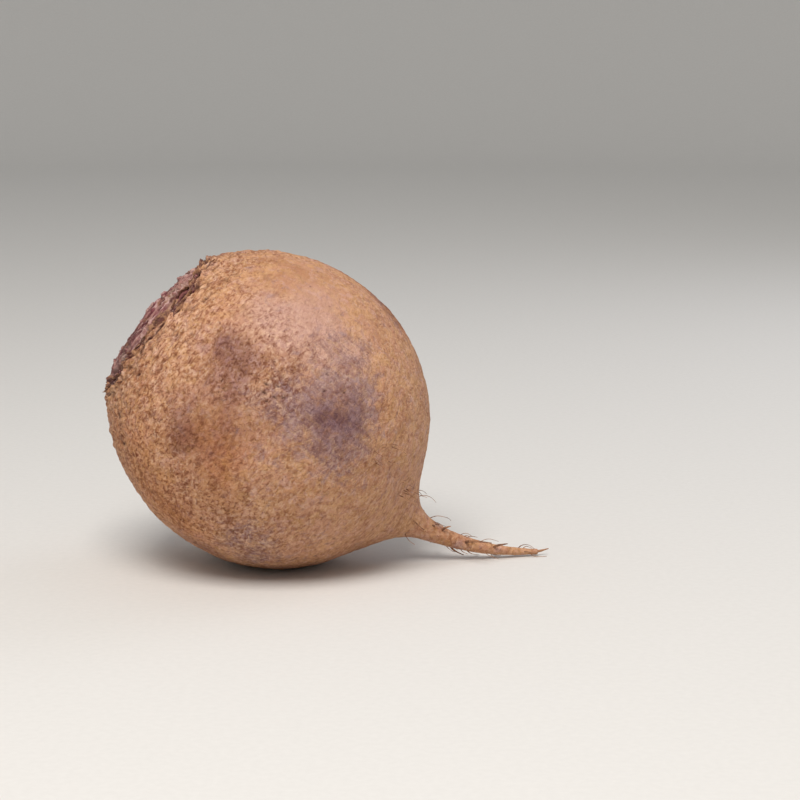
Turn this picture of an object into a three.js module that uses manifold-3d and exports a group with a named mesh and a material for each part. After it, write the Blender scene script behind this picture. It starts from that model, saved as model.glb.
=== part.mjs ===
// A whole beetroot, topped close to the crown and with its tail root left on, as it lies on a table.
//
// Units are millimetres and +Z is up. The origin is right under the middle of the globe, on the small flat
// spot that the root rests on. The crown, where the leaf stalks were cut off, faces up and to -X, and the
// tail root runs to +X. Everything grew as one body, so it is one solid.
//
// The skin is worked out in the root's own measures: a depth below the crown's top, along the root's axis,
// and an angle round that axis. The angle is 0 on the side that faces -Y and a quarter turn on the top.
import * as THREE from "three";
import { mergeVertices } from "three/addons/utils/BufferGeometryUtils.js";
import Module from "manifold-3d";

const wasm = await Module();
wasm.setup();

// The globe is widest a little under half way down, and an ellipse shapes it on either side of that.
const GLOBE_RADIUS = 46;
const WIDEST_DEPTH = 46.6;
const CROWN_SIDE_LENGTH = 50;
const TAIL_SIDE_LENGTH = 48.5;
const AXIS_SLOPE = THREE.MathUtils.degToRad(39);

// The crown was cut off in a shallow dome, which the globe's own curve runs up to.
const CROWN_RADIUS = 22.5;
const CROWN_DOME = 3;

// A hollow neck draws the globe in to the tail root, which bends to the table and runs out along it.
const NECK_START = 88;
const NECK_END = 107;
const NECK_RADIUS = 3.1;
const NECK_HOLLOW = { globe: 15, tail: 10.5, flare: 0.8 };
const TAIL_START = 92;
const TAIL_LENGTH = 46;
const TAIL_TIP_RADIUS = 0.8;
const TAIL_KNEE_HEIGHT = 2.4;
const TAIL_TIP_HEIGHT = 1.3;
const TAIL_RUN = 27;
const TAIL_SWAY = 8;

// The belly is flattened where it rests.
const REST_DEPTH = 0.8;

// Mesh density of the skin. The shoulder, where the wrinkles are, has closer rows down to its own angle.
const TURN_STEPS = 60;
const CROWN_ROWS = 4;
const SHOULDER_ROWS = 9;
const GLOBE_ROWS = 18;
const NECK_ROWS = 6;
const TAIL_ROWS = 6;
const SHOULDER_END = THREE.MathUtils.degToRad(-38);

// Low swellings keep the globe from being a true turned shape. Each comes up a number of times round it,
// twists a little on its way down, and passes through zero near the top and the bottom of the lying root.
const SWELLINGS = [
  { turns: 2, phase: Math.PI, twist: 0.5, height: 0.8 },
  { turns: 3, phase: Math.PI / 2, twist: -0.8, height: 0.6 },
  { turns: 5, phase: -Math.PI / 2, twist: 1.1, height: 0.3 },
];

// Side rootlets grow out of two shallow furrows, on opposite sides of the lower globe.
const FURROW_ANGLE = THREE.MathUtils.degToRad(28);
const FURROW_DEPTH = 1.1;
const FURROW_HALF_WIDTH = 3.4;
const FURROW_TOP = 58;

// Corky wrinkles run round the shoulder, side by side with the crown's rim.
const WRINKLE_ROWS = 3;
const WRINKLE_GAP = 2.9;
const WRINKLE_HEIGHT = 0.45;
const WRINKLE_HALF_WIDTH = 0.9;

// Leaf stalk stubs: broad crescents at the crown's rim, small ones at its heart.
const STUB_COUNT = 30;
const GOLDEN_ANGLE = Math.PI * (3 - Math.sqrt(5));
const STUB_FIRST = 0.35;
const STUB_OUTERMOST = 0.93 * CROWN_RADIUS;
const STUB_SINK = 3.5;
const STUB_WIDTH = { heart: 4, rim: 13.5 };
const STUB_THICKNESS = { heart: 2.2, rim: 4.6 };
const STUB_RISE = { least: 0.4, most: 1.4 };
const STUB_WIDTH_SPREAD = 0.15;
const STUB_LEAN = THREE.MathUtils.degToRad(24);
const STUB_SEED = 11;

// Side rootlets, in two loose rows down the neck and the tail, each longer or shorter and bent its own way.
const ROOTLET_COUNT = 10;
const ROOTLET_TOP = TAIL_START + 3;
const ROOTLET_BOTTOM = TAIL_START + 36;
const ROOTLET_RADIUS = 0.6;
const ROOTLET_TIP_SHARE = 0.4;
const ROOTLET_LENGTH = { least: 6, most: 15 };
const ROOTLET_SPREAD = 1.1;
const ROOTLET_LEAST_HEIGHT = 0.9;
const ROOTLET_SEED = 5;

const FLOOR_BLOCK = 300;
const MERGE_DISTANCE = 1e-4;

const UP = new THREE.Vector3(0, 0, 1);
const AXIS = new THREE.Vector3(Math.cos(AXIS_SLOPE), 0, -Math.sin(AXIS_SLOPE));

/** How far the globe's middle is over its lowest point, from the ellipse on the tail's side. */
const GLOBE_HEIGHT = Math.hypot(
  GLOBE_RADIUS * Math.cos(AXIS_SLOPE),
  TAIL_SIDE_LENGTH * Math.sin(AXIS_SLOPE),
) - REST_DEPTH;

/** The axis of the globe at a depth below the crown's top. */
function axisPoint(depth) {
  return new THREE.Vector3(0, 0, GLOBE_HEIGHT).addScaledVector(AXIS, depth - WIDEST_DEPTH);
}

/** The tail's centreline: it starts along the axis, and its knee is where the axis comes near the table. */
function makeTailLine() {
  const start = axisPoint(TAIL_START);
  const reach = (start.z - TAIL_KNEE_HEIGHT) / Math.sin(AXIS_SLOPE);
  const knee = start.clone().addScaledVector(AXIS, reach);
  const tip = new THREE.Vector3(knee.x + TAIL_RUN, TAIL_SWAY, TAIL_TIP_HEIGHT);
  return new THREE.QuadraticBezierCurve3(start, knee, tip);
}

const tailLine = makeTailLine();

/** The middle of the root and its two cross directions at a depth: to the side, and over the top. */
function crossFrame(depth) {
  const along = THREE.MathUtils.clamp((depth - TAIL_START) / TAIL_LENGTH, 0, 1);
  const inTail = depth > TAIL_START;
  const middle = inTail ? tailLine.getPointAt(along) : axisPoint(depth);
  const ahead = inTail ? tailLine.getTangentAt(along) : AXIS.clone();
  const side = new THREE.Vector3().crossVectors(ahead, UP).normalize();
  const over = new THREE.Vector3().crossVectors(side, ahead);
  return { middle, ahead, side, over };
}

/** A point of the root from its own measures. */
function placeOnRoot(angle, radius, depth) {
  const { middle, side, over } = crossFrame(depth);
  return middle
    .addScaledVector(side, radius * Math.cos(angle))
    .addScaledVector(over, radius * Math.sin(angle));
}

/** The angle on the globe's ellipse of a depth, below zero towards the crown. */
function globeAngle(depth) {
  const length = depth < WIDEST_DEPTH ? CROWN_SIDE_LENGTH : TAIL_SIDE_LENGTH;
  return Math.asin((depth - WIDEST_DEPTH) / length);
}

/** A point of the globe's outline by its angle on the ellipse. */
function globePoint(angle) {
  const length = angle < 0 ? CROWN_SIDE_LENGTH : TAIL_SIDE_LENGTH;
  return new THREE.Vector2(GLOBE_RADIUS * Math.cos(angle), WIDEST_DEPTH + length * Math.sin(angle));
}

/** The neck's hollow outline, which leaves the globe along its curve and ends along the tail. */
function neckLine() {
  const angle = globeAngle(NECK_START);
  const leave = new THREE.Vector2(-GLOBE_RADIUS * Math.sin(angle), TAIL_SIDE_LENGTH * Math.cos(angle));
  const start = globePoint(angle);
  const end = new THREE.Vector2(NECK_RADIUS, NECK_END);
  return new THREE.CubicBezierCurve(
    start,
    start.clone().addScaledVector(leave.normalize(), NECK_HOLLOW.globe),
    end.clone().add(new THREE.Vector2(NECK_HOLLOW.flare, -NECK_HOLLOW.tail)),
    end,
  );
}

/** The root's outline as (radius, depth), from the crown's heart to the tip of the tail. */
function outlinePoints() {
  const points = [];
  for (let row = 0; row < CROWN_ROWS; row += 1) {
    const share = row / CROWN_ROWS;
    points.push(new THREE.Vector2(CROWN_RADIUS * share, CROWN_DOME * share ** 2));
  }
  const rim = globeAngle(CROWN_DOME);
  for (let row = 0; row < SHOULDER_ROWS; row += 1) {
    points.push(globePoint(THREE.MathUtils.lerp(rim, SHOULDER_END, row / SHOULDER_ROWS)));
  }
  const neck = globeAngle(NECK_START);
  for (let row = 0; row < GLOBE_ROWS; row += 1) {
    points.push(globePoint(THREE.MathUtils.lerp(SHOULDER_END, neck, row / GLOBE_ROWS)));
  }
  points.push(...neckLine().getPoints(NECK_ROWS));
  const tip = TAIL_START + TAIL_LENGTH;
  for (let row = 1; row <= TAIL_ROWS; row += 1) {
    const share = row / TAIL_ROWS;
    const radius = THREE.MathUtils.lerp(NECK_RADIUS, TAIL_TIP_RADIUS, share ** 0.7);
    points.push(new THREE.Vector2(radius, THREE.MathUtils.lerp(NECK_END, tip, share)));
  }
  points.push(new THREE.Vector2(0, tip + TAIL_TIP_RADIUS));
  return points;
}

/** Low swellings of the globe, which die out at the crown's rim and at the neck. */
function swelling(angle, depth) {
  const down = THREE.MathUtils.clamp(depth / TAIL_START, 0, 1);
  const share = Math.sin(Math.PI * down) ** 0.7;
  let height = 0;
  for (const wave of SWELLINGS) {
    height += wave.height * Math.sin(wave.turns * angle + wave.phase + wave.twist * (down - 0.5));
  }
  return height * share;
}

/** The two furrows, as a depth below the skin. They deepen down the globe and end at the neck. */
function furrow(angle, radius, depth) {
  const share = THREE.MathUtils.smoothstep(depth, FURROW_TOP, NECK_START);
  const fade = 1 - THREE.MathUtils.smoothstep(depth, NECK_START + 2, NECK_START + 9);
  const across = (radius * Math.sin(angle - FURROW_ANGLE)) / FURROW_HALF_WIDTH;
  return FURROW_DEPTH * share * fade * Math.exp(-across * across);
}

/** Corky wrinkles round the shoulder. */
function wrinkles(angle, depth) {
  let height = 0;
  for (let row = 0; row < WRINKLE_ROWS; row += 1) {
    const middle = CROWN_DOME + WRINKLE_GAP * (row + 0.55) + 0.7 * Math.sin(3 * angle + 2 * row);
    const across = (depth - middle) / WRINKLE_HALF_WIDTH;
    const broken = 0.5 + 0.5 * Math.sin((7 + 2 * row) * angle + 1.7 * row);
    height += WRINKLE_HEIGHT * broken * Math.exp(-across * across);
  }
  return height;
}

/** A torn, uneven lip where the skin ends at the crown. */
function rimLip(angle, radius, depth) {
  const across = Math.hypot(radius - CROWN_RADIUS, depth - CROWN_DOME) / 2.2;
  const torn = 0.2 + 0.35 * Math.sin(11 * angle + 0.5) + 0.3 * Math.sin(17 * angle + 2);
  return torn * Math.exp(-across * across);
}

/** The skin's height over the smooth outline. */
function relief(angle, radius, depth) {
  return (
    swelling(angle, depth) -
    furrow(angle, radius, depth) +
    wrinkles(angle, depth) +
    rimLip(angle, radius, depth)
  );
}

/** The outline's outward direction at one of its points, as (radius, depth). */
function outwardAt(points, row) {
  const before = points[Math.max(0, row - 1)];
  const after = points[Math.min(points.length - 1, row + 1)];
  const run = after.clone().sub(before);
  return new THREE.Vector2(run.y, -run.x).normalize();
}

/** The root's skin: its outline turned round the axis, raised by the relief and laid along the centreline. */
function rootSkin() {
  const points = outlinePoints();
  const turned = new THREE.LatheGeometry(
    points.map((p) => new THREE.Vector2(p.x, -p.y)).reverse(),
    TURN_STEPS,
  );
  const position = turned.getAttribute("position");
  for (let step = 0; step <= TURN_STEPS; step += 1) {
    const angle = (step % TURN_STEPS) * ((2 * Math.PI) / TURN_STEPS);
    points.forEach((point, row) => {
      const atPole = point.x === 0;
      const raise = atPole ? 0 : relief(angle, point.x, point.y);
      const outward = outwardAt(points, row);
      const placed = placeOnRoot(
        angle,
        atPole ? 0 : point.x + raise * outward.x,
        point.y + raise * outward.y,
      );
      const vertex = step * points.length + (points.length - 1 - row);
      position.setXYZ(vertex, placed.x, placed.y, placed.z);
    });
  }
  return turned;
}

/** A closed mesh as a solid that can be joined and cut. */
function solidOf(geometry) {
  const bare = geometry.clone();
  bare.deleteAttribute("normal");
  bare.deleteAttribute("uv");
  const merged = mergeVertices(bare, MERGE_DISTANCE);
  const corners = merged.index.array;
  const kept = [];
  for (let i = 0; i < corners.length; i += 3) {
    const [a, b, c] = corners.slice(i, i + 3);
    if (a !== b && b !== c && c !== a) kept.push(a, b, c);
  }
  return new wasm.Manifold(
    new wasm.Mesh({
      numProp: 3,
      vertProperties: new Float32Array(merged.attributes.position.array),
      triVerts: new Uint32Array(kept),
    }),
  );
}

/** A solid as a geometry to show, with flat faces. */
function geometryOf(solid) {
  const mesh = solid.getMesh();
  const geometry = new THREE.BufferGeometry();
  geometry.setAttribute("position", new THREE.BufferAttribute(mesh.vertProperties, 3));
  geometry.setIndex(new THREE.BufferAttribute(mesh.triVerts, 1));
  const flat = geometry.toNonIndexed();
  flat.computeVertexNormals();
  return flat;
}

/** A stalk's cross-section: bowed outwards, with the stalk's channel on the side of the crown's heart. */
function stubOutline(width, thickness) {
  const half = width / 2;
  const outline = new THREE.Shape();
  outline.moveTo(-half, 0);
  outline.absellipse(0, 0, half, 0.7 * thickness, Math.PI, 0, true);
  outline.quadraticCurveTo(0, 0.1 * thickness, -half, 0);
  return outline;
}

/** One leaf stalk stub, cut off just above the crown, at its place on the crown's spiral. */
function leafStub(index) {
  const share = Math.sqrt((index + STUB_FIRST) / STUB_COUNT);
  const radius = STUB_OUTERMOST * share;
  const angle = index * GOLDEN_ANGLE;
  const even = THREE.MathUtils.lerp(STUB_WIDTH.heart, STUB_WIDTH.rim, share);
  const width = even * drawBetween(1 - STUB_WIDTH_SPREAD, 1 + STUB_WIDTH_SPREAD);
  const thickness = THREE.MathUtils.lerp(STUB_THICKNESS.heart, STUB_THICKNESS.rim, share);
  const rise = drawBetween(STUB_RISE.least, STUB_RISE.most);
  const stub = new THREE.ExtrudeGeometry(stubOutline(width, thickness), {
    depth: STUB_SINK + rise,
    curveSegments: 3,
    bevelEnabled: false,
  });
  stub.translate(0, -0.3 * thickness, -STUB_SINK);

  const { side, over } = crossFrame(0);
  const outward = side.clone().multiplyScalar(Math.cos(angle)).addScaledVector(over, Math.sin(angle));
  const growth = AXIS.clone()
    .multiplyScalar(-Math.cos(STUB_LEAN * share))
    .addScaledVector(outward, Math.sin(STUB_LEAN * share));
  const across = new THREE.Vector3().crossVectors(outward, growth).normalize();
  const bow = new THREE.Vector3().crossVectors(growth, across);
  stub.applyMatrix4(new THREE.Matrix4().makeBasis(across, bow, growth));
  const seat = placeOnRoot(angle, radius, CROWN_DOME * (radius / CROWN_RADIUS) ** 2);
  return stub.translate(seat.x, seat.y, seat.z);
}

/** A rootlet's centreline: out of the root's middle, then bent along the tail or back over it. */
function rootletLine(index) {
  const depth = THREE.MathUtils.lerp(ROOTLET_TOP, ROOTLET_BOTTOM, (index + draw()) / ROOTLET_COUNT);
  const { middle, ahead, side, over } = crossFrame(depth);
  const angle = FURROW_ANGLE + (index % 2) * Math.PI + ROOTLET_SPREAD * drawBetween(-0.5, 0.5);
  const outward = side.clone().multiplyScalar(Math.cos(angle)).addScaledVector(over, Math.sin(angle));
  const length = drawBetween(ROOTLET_LENGTH.least, ROOTLET_LENGTH.most);
  const bend = middle
    .clone()
    .addScaledVector(outward, 0.6 * length)
    .addScaledVector(ahead, drawBetween(-0.1, 0.3) * length);
  const end = middle
    .clone()
    .addScaledVector(outward, 0.7 * length)
    .addScaledVector(ahead, drawBetween(0.1, 0.8) * length);
  bend.z = Math.max(bend.z, ROOTLET_LEAST_HEIGHT);
  end.z = Math.max(end.z, ROOTLET_LEAST_HEIGHT);
  return new THREE.QuadraticBezierCurve3(middle, bend, end);
}

/** One side rootlet: a thin tapered hair laid along its own centreline. */
function rootlet(index) {
  const line = rootletLine(index);
  const hair = new THREE.CylinderGeometry(ROOTLET_TIP_SHARE * ROOTLET_RADIUS, ROOTLET_RADIUS, 1, 5, 4);
  const position = hair.getAttribute("position");
  for (let i = 0; i < position.count; i += 1) {
    const along = position.getY(i) + 0.5;
    const tangent = line.getTangentAt(along);
    const right = new THREE.Vector3().crossVectors(tangent, UP).normalize();
    const front = new THREE.Vector3().crossVectors(right, tangent);
    const placed = line
      .getPointAt(along)
      .addScaledVector(right, position.getX(i))
      .addScaledVector(front, position.getZ(i));
    position.setXYZ(i, placed.x, placed.y, placed.z);
  }
  return hair;
}

/** Everything below the table's level, to cut the belly's flat spot. */
function belowTable() {
  return new THREE.BoxGeometry(FLOOR_BLOCK, FLOOR_BLOCK, FLOOR_BLOCK).translate(0, 0, -FLOOR_BLOCK / 2);
}

/** Restarts the repeatable run of numbers from 0 to 1 that the small pieces draw from. */
function startDraws(seed) {
  THREE.MathUtils.seededRandom(seed);
}

function draw() {
  return THREE.MathUtils.seededRandom();
}

function drawBetween(least, most) {
  return THREE.MathUtils.lerp(least, most, draw());
}

function beetroot() {
  let solid = solidOf(rootSkin());
  startDraws(STUB_SEED);
  for (let index = 0; index < STUB_COUNT; index += 1) {
    solid = solid.add(solidOf(leafStub(index)));
  }
  startDraws(ROOTLET_SEED);
  for (let index = 0; index < ROOTLET_COUNT; index += 1) {
    solid = solid.add(solidOf(rootlet(index)));
  }
  solid = solid.subtract(solidOf(belowTable()));
  const skin = new THREE.MeshStandardMaterial({ color: 0xb5835f, roughness: 0.75, metalness: 0 });
  const mesh = new THREE.Mesh(geometryOf(solid), skin);
  mesh.name = "beetroot";
  return mesh;
}

const group = new THREE.Group();
group.add(beetroot());

export default group;
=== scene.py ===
import math
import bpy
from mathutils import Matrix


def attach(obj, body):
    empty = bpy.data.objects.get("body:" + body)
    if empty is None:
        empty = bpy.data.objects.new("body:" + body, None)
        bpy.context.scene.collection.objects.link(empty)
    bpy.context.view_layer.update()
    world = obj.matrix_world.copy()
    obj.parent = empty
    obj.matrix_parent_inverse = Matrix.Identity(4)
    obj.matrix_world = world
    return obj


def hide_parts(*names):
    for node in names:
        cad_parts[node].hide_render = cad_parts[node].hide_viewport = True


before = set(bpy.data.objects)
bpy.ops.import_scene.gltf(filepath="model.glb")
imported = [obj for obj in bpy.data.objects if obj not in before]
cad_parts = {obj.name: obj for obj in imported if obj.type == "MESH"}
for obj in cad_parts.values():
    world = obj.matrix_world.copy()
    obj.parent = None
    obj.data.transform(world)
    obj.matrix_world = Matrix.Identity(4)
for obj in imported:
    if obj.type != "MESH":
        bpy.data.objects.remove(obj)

from types import SimpleNamespace

import bpy
import numpy as np
from mathutils import Vector, noise

# A whole beetroot lying on a pale table. Every size below is in millimetres unless its name says
# otherwise, and MM turns it into the metres of the scene. The root's own measures are the ones it grew
# by: a depth below the crown's top, along its axis, and an angle round the axis, which is 0 on the side
# that faces -Y and a quarter turn on the top.
MM = 0.001

# The globe: two half ellipses that meet where it is widest.
GLOBE_RADIUS = 46.0
WIDEST_DEPTH = 46.6
CROWN_SIDE_LENGTH = 50.0
TAIL_SIDE_LENGTH = 48.5
AXIS_SLOPE = math.radians(39)
REST_DEPTH = 0.8

# The crown's shallow dome, the neck and the tail root.
CROWN_RADIUS = 22.5
CROWN_DOME = 3.0
NECK_START = 88.0
NECK_END = 107.0
NECK_RADIUS = 3.1
NECK_HOLLOW = {"globe": 15.0, "tail": 10.5, "flare": 0.8}
TAIL_START = 92.0
TAIL_LENGTH = 46.0
TAIL_END = TAIL_START + TAIL_LENGTH
TAIL_TIP_RADIUS = 0.8
TAIL_KNEE_HEIGHT = 2.4
TAIL_TIP_HEIGHT = 1.3
TAIL_RUN = 27.0
TAIL_SWAY = 8.0

# Low swellings of the globe: times round, phase, twist on the way down and height.
SWELLINGS = [(2, math.pi, 0.5, 0.8), (3, math.pi / 2, -0.8, 0.6), (5, -math.pi / 2, 1.1, 0.3)]

# The two furrows that side rootlets grow from.
FURROW_ANGLE = math.radians(28)
FURROW_DEPTH = 1.1
FURROW_HALF_WIDTH = 3.4
FURROW_TOP = 58.0

# Leaf stalk stubs on the crown's spiral, with the same draws as the solid's own stubs.
STUB_COUNT = 30
GOLDEN_ANGLE = math.pi * (3 - math.sqrt(5))
STUB_FIRST = 0.35
STUB_OUTERMOST = 0.93 * CROWN_RADIUS
STUB_WIDTH = (4.0, 13.5)
STUB_THICKNESS = (2.2, 4.6)
STUB_RISE = (0.4, 1.4)
STUB_WIDTH_SPREAD = 0.15
STUB_SEED = 11

# Side rootlets of the neck and the tail, also with the solid's own draws.
ROOTLET_COUNT = 10
ROOTLET_TOP = TAIL_START + 3
ROOTLET_BOTTOM = TAIL_START + 36
ROOTLET_RADIUS = 0.6
ROOTLET_LENGTH = (6.0, 15.0)
ROOTLET_SPREAD = 1.1
ROOTLET_LEAST_HEIGHT = 0.9
ROOTLET_SEED = 5

# The photograph's camera: a long lens a little above the root, which puts the globe's middle at a pixel.
PHOTO_PIXELS = 800
SENSOR = 36.0
LENS = 100.0
CAMERA_DISTANCE = 664.0
CAMERA_DIP = math.radians(10)
GLOBE_PIXEL = (270.2, 411.6)

AXIS = np.array([math.cos(AXIS_SLOPE), 0.0, -math.sin(AXIS_SLOPE)])
GLOBE_HEIGHT = math.hypot(
    GLOBE_RADIUS * math.cos(AXIS_SLOPE), TAIL_SIDE_LENGTH * math.sin(AXIS_SLOPE)
) - REST_DEPTH
GLOBE_MIDDLE = np.array([0.0, 0.0, GLOBE_HEIGHT])


# Seeded draws

class Draws:
    """A repeatable run of numbers from 0 to 1, the same run that the solid's small pieces are drawn from."""

    def __init__(self, seed):
        self.state = seed
        self.next()

    def next(self):
        self.state = (self.state + 0x6D2B79F5) & 0xFFFFFFFF
        t = self.state
        t = ((t ^ (t >> 15)) * (t | 1)) & 0xFFFFFFFF
        t ^= (t + (((t ^ (t >> 7)) * (t | 61)) & 0xFFFFFFFF)) & 0xFFFFFFFF
        return (t ^ (t >> 14)) / 4294967296

    def between(self, least, most):
        return least + (most - least) * self.next()


def mix(a, b, share):
    return a + (b - a) * share


def smooth_step(value, low, high):
    share = np.clip((value - low) / (high - low), 0, 1)
    return share * share * (3 - 2 * share)


def lumps(points, size, shift=0.0):
    """Smooth noise from -1 to 1 at points in millimetres; size is the width of one lump, or of each axis."""
    scaled = (points / np.asarray(size, dtype=float) + shift).tolist()
    return np.array([noise.noise(point) for point in scaled])


def layered(points, layers):
    """Noise of several sizes: each layer has the width of a lump, a shift and a height."""
    return sum(high * lumps(points, size, shift) for size, shift, high in layers)


def bell(value, width):
    """1 where the value is 0, and less and less on both sides, over this width."""
    return np.exp(-((value / width) ** 2))


def fading(distance, reach):
    """1 up to a border, and less and less past it, over this reach."""
    return bell(np.clip(distance, 0, None), reach)


# The root's own measures

def bezier(points, t):
    """A Bezier curve through any number of control points, at the values t."""
    points = [np.multiply.outer(np.ones_like(t), point) for point in points]
    while len(points) > 1:
        points = [a + (b - a) * t[:, None] for a, b in zip(points, points[1:])]
    return points[0]


def by_length(line, shares):
    """Points and directions of a polyline at shares of its length."""
    steps = np.linalg.norm(np.diff(line, axis=0), axis=1)
    length = np.concatenate([[0], np.cumsum(steps)]) / steps.sum()
    points = np.stack([np.interp(shares, length, line[:, k]) for k in range(3)], axis=1)
    slopes = np.gradient(line, length, axis=0)
    ahead = np.stack([np.interp(shares, length, slopes[:, k]) for k in range(3)], axis=1)
    return points, ahead / np.linalg.norm(ahead, axis=1)[:, None]


def tail_line():
    """The tail's centreline: along the axis at first, then bent to the table."""
    start = GLOBE_MIDDLE + AXIS * (TAIL_START - WIDEST_DEPTH)
    knee = start + AXIS * (start[2] - TAIL_KNEE_HEIGHT) / math.sin(AXIS_SLOPE)
    tip = np.array([knee[0] + TAIL_RUN, TAIL_SWAY, TAIL_TIP_HEIGHT])
    return bezier([start, knee, tip], np.linspace(0, 1, 201))


TAIL_LINE = tail_line()


def cross_frame(depth):
    """The root's middle, and its directions ahead, to the side and over the top, at depths."""
    depth = np.asarray(depth, dtype=float)
    middle = GLOBE_MIDDLE + np.multiply.outer(depth - WIDEST_DEPTH, AXIS)
    ahead = np.multiply.outer(np.ones_like(depth), AXIS)
    shares = np.clip((depth - TAIL_START) / TAIL_LENGTH, 0, 1)
    tail_middle, tail_ahead = by_length(TAIL_LINE, shares)
    in_tail = (depth > TAIL_START)[:, None]
    middle = np.where(in_tail, tail_middle, middle)
    ahead = np.where(in_tail, tail_ahead, ahead)
    side = np.cross(ahead, [0, 0, 1])
    side /= np.linalg.norm(side, axis=1)[:, None]
    return middle, ahead, side, np.cross(side, ahead)


def place(angle, radius, depth):
    """Points of the root from its own measures."""
    middle, _, side, over = cross_frame(depth)
    return middle + side * (radius * np.cos(angle))[:, None] + over * (radius * np.sin(angle))[:, None]


def point_at(angle, radius, depth):
    """One point of the root."""
    return place(*(np.array([value], dtype=float) for value in (angle, radius, depth)))[0]


def frame_at(depth):
    """The root's middle and directions at one depth."""
    return (value[0] for value in cross_frame([depth]))


def globe_radius(depth):
    """The globe's radius at a depth."""
    length = CROWN_SIDE_LENGTH if depth < WIDEST_DEPTH else TAIL_SIDE_LENGTH
    return GLOBE_RADIUS * math.sqrt(1 - ((depth - WIDEST_DEPTH) / length) ** 2)


def globe_depth(radius):
    """The depth of the globe's crown side where it has this radius."""
    return WIDEST_DEPTH - CROWN_SIDE_LENGTH * np.sqrt(1 - (radius / GLOBE_RADIUS) ** 2)


def globe_arc(first, last, count):
    """(radius, depth) along the globe from one depth to another."""
    def angle_of(depth):
        length = CROWN_SIDE_LENGTH if depth < WIDEST_DEPTH else TAIL_SIDE_LENGTH
        return math.asin((depth - WIDEST_DEPTH) / length)

    angle = np.linspace(angle_of(first), angle_of(last), count)
    length = np.where(angle < 0, CROWN_SIDE_LENGTH, TAIL_SIDE_LENGTH)
    return np.stack([GLOBE_RADIUS * np.cos(angle), WIDEST_DEPTH + length * np.sin(angle)], axis=1)


def neck_arc(count):
    """(radius, depth) down the hollow neck, which leaves the globe along its curve."""
    start, after = globe_arc(NECK_START, NECK_START + 0.01, 2)
    leave = (after - start) / np.linalg.norm(after - start)
    end = np.array([NECK_RADIUS, NECK_END])
    lower = end + [NECK_HOLLOW["flare"], -NECK_HOLLOW["tail"]]
    curve = [start, start + leave * NECK_HOLLOW["globe"], lower, end]
    return bezier(curve, np.linspace(0, 1, count))


def tail_arc(count):
    """(radius, depth) down the tail root to its tip."""
    share = np.linspace(0, 1, count)
    radius = mix(NECK_RADIUS, TAIL_TIP_RADIUS, share**0.7)
    return np.stack([radius, mix(NECK_END, TAIL_END, share)], axis=1)


OUTLINE = np.concatenate([globe_arc(CROWN_DOME, NECK_START, 300), neck_arc(100)[1:], tail_arc(100)[1:]])
OUTLINE = (OUTLINE[:, 1], OUTLINE[:, 0])


def swelling(angle, depth):
    down = np.clip(depth / TAIL_START, 0, 1)
    height = sum(
        high * np.sin(turns * angle + phase + twist * (down - 0.5))
        for turns, phase, twist, high in SWELLINGS
    )
    return height * np.sin(math.pi * down) ** 0.7


def furrow(angle, radius, depth):
    share = smooth_step(depth, FURROW_TOP, NECK_START)
    fade = 1 - smooth_step(depth, NECK_START + 2, NECK_START + 9)
    across = radius * np.sin(angle - FURROW_ANGLE) / FURROW_HALF_WIDTH
    return FURROW_DEPTH * share * fade * np.exp(-across * across)


# Meshes made of rings

def ring_faces(first, count, second, second_count):
    """Faces between two rings of the same number of points, or of twice or half as many."""
    if count == second_count:
        return [
            (first + j, first + (j + 1) % count, second + (j + 1) % count, second + j)
            for j in range(count)
        ]
    if count == 2 * second_count:
        faces = []
        for j in range(second_count):
            a, b, c = first + 2 * j, first + 2 * j + 1, first + (2 * j + 2) % count
            d, e = second + j, second + (j + 1) % second_count
            faces += [(a, b, d), (b, e, d), (b, c, e)]
        return faces
    return [face[::-1] for face in ring_faces(second, second_count, first, count)]


def rings_to_faces(counts, offset=0):
    """Faces of a closed body of rings. A count of 1 is a pole."""
    starts = offset + np.concatenate([[0], np.cumsum(counts)[:-1]])
    faces = []
    for count, start, next_count, next_start in zip(counts, starts, counts[1:], starts[1:]):
        if count == 1:
            faces += [(start, next_start + (j + 1) % next_count, next_start + j) for j in range(next_count)]
        elif next_count == 1:
            faces += [(start + j, start + (j + 1) % count, next_start) for j in range(count)]
        else:
            faces += ring_faces(int(start), count, int(next_start), next_count)
    return faces


def make_piece(name, points, faces, fields, material):
    """A smooth mesh object from points in millimetres, with a named number or vector for each point."""
    mesh = bpy.data.meshes.new(name)
    mesh.from_pydata((points * MM).tolist(), [], [tuple(int(i) for i in face) for face in faces])
    for field, values in fields.items():
        values = np.asarray(values, dtype=np.float32)
        if values.ndim == 2:
            layer = mesh.attributes.new(field, "FLOAT_VECTOR", "POINT")
            layer.data.foreach_set("vector", values.ravel())
        else:
            layer = mesh.attributes.new(field, "FLOAT", "POINT")
            layer.data.foreach_set("value", values)
    mesh.shade_smooth()
    mesh.materials.append(material)
    piece = bpy.data.objects.new(name, mesh)
    bpy.context.scene.collection.objects.link(piece)
    return piece


# Materials

def srgb(code):
    """A hex colour as linear red, green, blue and alpha."""
    channels = [int(code[i:i + 2], 16) / 255 for i in (1, 3, 5)]
    linear = [c / 12.92 if c <= 0.04045 else ((c + 0.055) / 1.055) ** 2.4 for c in channels]
    return (*linear, 1.0)


def add(material, kind, inputs=None, **settings):
    """Adds one node: settings are its own options, inputs the values or links of its sockets."""
    tree = material.node_tree
    node = tree.nodes.new(kind)
    for option, value in settings.items():
        setattr(node, option, value)
    for socket, value in (inputs or {}).items():
        if isinstance(value, bpy.types.NodeSocket):
            tree.links.new(value, node.inputs[socket])
        else:
            node.inputs[socket].default_value = value
    return node


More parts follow.
